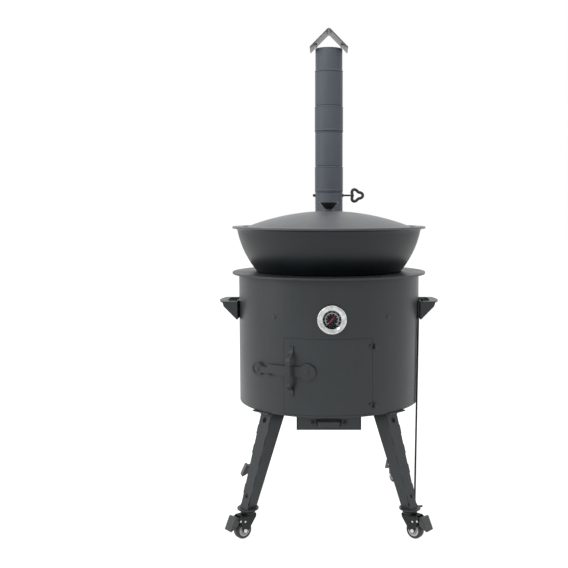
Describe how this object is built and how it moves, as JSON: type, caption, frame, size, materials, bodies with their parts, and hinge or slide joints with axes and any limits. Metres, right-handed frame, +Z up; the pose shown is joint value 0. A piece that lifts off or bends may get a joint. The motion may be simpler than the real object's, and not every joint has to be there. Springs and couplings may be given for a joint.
{
  "type": "cauldron stove",
  "caption": "Free-standing cauldron stove: drum fire box with door and ash drawer on splayed legs with casters, lidded cauldron in its top ring, rear chimney with damper and rain cap.",
  "frame": {"origin": "centre of the bounding box's underside, on the floor between the wheels", "axes": "+Z up; the door and the thermometer face -Y, the chimney stands towards +Y, and the carrying handles point along X"},
  "size_m": [0.5606, 0.5986, 1.2936],
  "materials": {
    "heat_paint": "matte graphite heat-proof paint on steel sheet",
    "pipe_paint": "matte heat-proof paint, a little bluer and lighter",
    "bowl_iron": "cast iron with a matte coating",
    "lid_paint": "matte coating on pressed steel",
    "grate_iron": "bare sand-cast iron",
    "black_steel": "satin black",
    "knob_plastic": "black phenolic",
    "zinc": "bright zinc plate",
    "stainless": "polished stainless",
    "dial_black": "matte black",
    "needle_red": "red enamel",
    "clear_glass": "clear",
    "tyre_rubber": "dark grey rubber",
    "brake_grey": "grey nylon"
  },
  "bodies": {
    "stove": {"drum_shell": "heat_paint", "drum_floor": "heat_paint", "top_ring": "heat_paint", "drum_rivet_left": "heat_paint", "drum_rivet_right": "heat_paint", "drawer_housing": "heat_paint", "handle_left": "heat_paint", "handle_right": "heat_paint", "hinge_pin_upper": "black_steel", "hinge_pin_lower": "black_steel", "latch_keeper": "heat_paint", "thermometer_case": "stainless", "thermometer_dial": "dial_black", "thermometer_glass": "clear_glass", "thermometer_nut": "zinc", "flue_box": "heat_paint", "leg_front_left": "heat_paint", "leg_front_right": "heat_paint", "leg_rear_left": "heat_paint", "leg_rear_right": "heat_paint"},
    "grate": {"fire_grate": "grate_iron"},
    "door": {"door_panel": "heat_paint", "door_pull": "black_steel", "hinge_sleeve_upper": "black_steel", "hinge_sleeve_lower": "black_steel", "latch_rivet": "zinc"},
    "latch": {"latch_bar": "heat_paint"},
    "drawer": {"ash_drawer": "heat_paint", "drawer_grip": "heat_paint", "drawer_bolt_left": "black_steel", "drawer_bolt_right": "black_steel"},
    "pot": {"cauldron": "bowl_iron"},
    "pot_lid": {"lid": "lid_paint", "lid_knob": "knob_plastic"},
    "pipe_lower": {"chimney_lower": "pipe_paint"},
    "pipe_middle": {"chimney_middle": "pipe_paint"},
    "pipe_upper": {"chimney_upper": "pipe_paint"},
    "cap": {"rain_cap": "pipe_paint"},
    "damper": {"damper_key": "black_steel", "damper_plate": "black_steel", "damper_nut": "black_steel"},
    "needle": {"thermometer_needle": "needle_red"},
    "poker_bar": {"poker": "black_steel"},
    "caster_front_left": {"caster_fork_front_left": "black_steel", "caster_axle_front_left": "zinc"},
    "caster_front_right": {"caster_fork_front_right": "black_steel", "caster_axle_front_right": "zinc"},
    "caster_rear_left": {"caster_fork_rear_left": "black_steel", "caster_axle_rear_left": "zinc"},
    "caster_rear_right": {"caster_fork_rear_right": "black_steel", "caster_axle_rear_right": "zinc"},
    "wheel_front_left": {"caster_wheel_front_left": "tyre_rubber"},
    "wheel_front_right": {"caster_wheel_front_right": "tyre_rubber"},
    "wheel_rear_left": {"caster_wheel_rear_left": "tyre_rubber"},
    "wheel_rear_right": {"caster_wheel_rear_right": "tyre_rubber"},
    "pedal_front_left": {"caster_brake_pedal_front_left": "brake_grey"},
    "pedal_front_right": {"caster_brake_pedal_front_right": "brake_grey"},
    "pedal_rear_left": {"caster_brake_pedal_rear_left": "brake_grey"},
    "pedal_rear_right": {"caster_brake_pedal_rear_right": "brake_grey"}
  },
  "joints": [
    {"name": "door_hinge", "type": "hinge", "parent": "stove", "child": "door", "pos_m": [0.11056, -0.26068, 0.3935], "axis": [0, 0, 1], "range_deg": [0, 150]},
    {"name": "latch_pivot", "type": "hinge", "parent": "door", "child": "latch", "pos_m": [-0.05162, -0.27996, 0.4066], "axis": [0.2215, 0.9751, 0], "range_deg": [0, 10]},
    {"name": "drawer_slide", "type": "slide", "parent": "stove", "child": "drawer", "axis": [0, -1, 0], "range_m": [0, 0.24]},
    {"name": "grate_lift", "type": "slide", "parent": "stove", "child": "grate", "axis": [0, 0, 1], "range_m": [0, 0.15]},
    {"name": "pot_lift", "type": "slide", "parent": "stove", "child": "pot", "axis": [0, 0, 1], "range_m": [0, 0.3]},
    {"name": "lid_lift", "type": "slide", "parent": "pot", "child": "pot_lid", "axis": [0, 0, 1], "range_m": [0, 0.1]},
    {"name": "pipe_lower_lift", "type": "slide", "parent": "stove", "child": "pipe_lower", "axis": [0, 0, 1], "range_m": [0, 0.1]},
    {"name": "pipe_middle_lift", "type": "slide", "parent": "pipe_lower", "child": "pipe_middle", "axis": [0, 0, 1], "range_m": [0, 0.1]},
    {"name": "pipe_upper_lift", "type": "slide", "parent": "pipe_middle", "child": "pipe_upper", "axis": [0, 0, 1], "range_m": [0, 0.1]},
    {"name": "cap_lift", "type": "slide", "parent": "pipe_upper", "child": "cap", "axis": [0, 0, 1], "range_m": [0, 0.06]},
    {"name": "damper_turn", "type": "hinge", "parent": "pipe_lower", "child": "damper", "pos_m": [0, 0.25325, 0.8243], "axis": [1, 0, 0], "range_deg": [0, 90]},
    {"name": "needle_turn", "type": "hinge", "parent": "stove", "child": "needle", "pos_m": [0.00703, -0.28294, 0.5305], "axis": [-0.0305, 0.9995, 0], "range_deg": [0, 265], "stiffness_Nm_per_rad": 0.0005},
    {"name": "poker_lift", "type": "slide", "parent": "stove", "child": "poker_bar", "axis": [0, 0, 1], "range_m": [0, 0.03]},
    {"name": "swivel_front_left", "type": "hinge", "parent": "stove", "child": "caster_front_left", "pos_m": [-0.19431, -0.24706, 0.07], "axis": [0, 0, 1], "continuous": true},
    {"name": "swivel_front_right", "type": "hinge", "parent": "stove", "child": "caster_front_right", "pos_m": [0.19431, -0.24706, 0.07], "axis": [0, 0, 1], "continuous": true},
    {"name": "swivel_rear_left", "type": "hinge", "parent": "stove", "child": "caster_rear_left", "pos_m": [-0.19431, 0.14156, 0.07], "axis": [0, 0, 1], "continuous": true},
    {"name": "swivel_rear_right", "type": "hinge", "parent": "stove", "child": "caster_rear_right", "pos_m": [0.19431, 0.14156, 0.07], "axis": [0, 0, 1], "continuous": true},
    {"name": "wheel_turn_front_left", "type": "hinge", "parent": "caster_front_left", "child": "wheel_front_left", "pos_m": [-0.20657, -0.25734, 0.021], "axis": [0.6428, -0.766, 0], "continuous": true},
    {"name": "wheel_turn_front_right", "type": "hinge", "parent": "caster_front_right", "child": "wheel_front_right", "pos_m": [0.20657, -0.25734, 0.021], "axis": [0.6428, 0.766, 0], "continuous": true},
    {"name": "wheel_turn_rear_left", "type": "hinge", "parent": "caster_rear_left", "child": "wheel_rear_left", "pos_m": [-0.20976, 0.13742, 0.021], "axis": [0.2588, -0.9659, 0], "continuous": true},
    {"name": "wheel_turn_rear_right", "type": "hinge", "parent": "caster_rear_right", "child": "wheel_rear_right", "pos_m": [0.18937, 0.15678, 0.021], "axis": [-0.9511, -0.309, 0], "continuous": true},
    {"name": "brake_front_left", "type": "hinge", "parent": "caster_front_left", "child": "pedal_front_left", "pos_m": [-0.21729, -0.26634, 0.0508], "axis": [0.6428, -0.766, 0], "range_deg": [-15, 0]},
    {"name": "brake_front_right", "type": "hinge", "parent": "caster_front_right", "child": "pedal_front_right", "pos_m": [0.21729, -0.26634, 0.0508], "axis": [0.6428, 0.766, 0], "range_deg": [-15, 0]},
    {"name": "brake_rear_left", "type": "hinge", "parent": "caster_rear_left", "child": "pedal_rear_left", "pos_m": [-0.22329, 0.1338, 0.0508], "axis": [0.2588, -0.9659, 0], "range_deg": [-15, 0]},
    {"name": "brake_rear_right", "type": "hinge", "parent": "caster_rear_right", "child": "pedal_rear_right", "pos_m": [0.18504, 0.17009, 0.0508], "axis": [-0.9511, -0.309, 0], "range_deg": [-15, 0]}
  ]
}
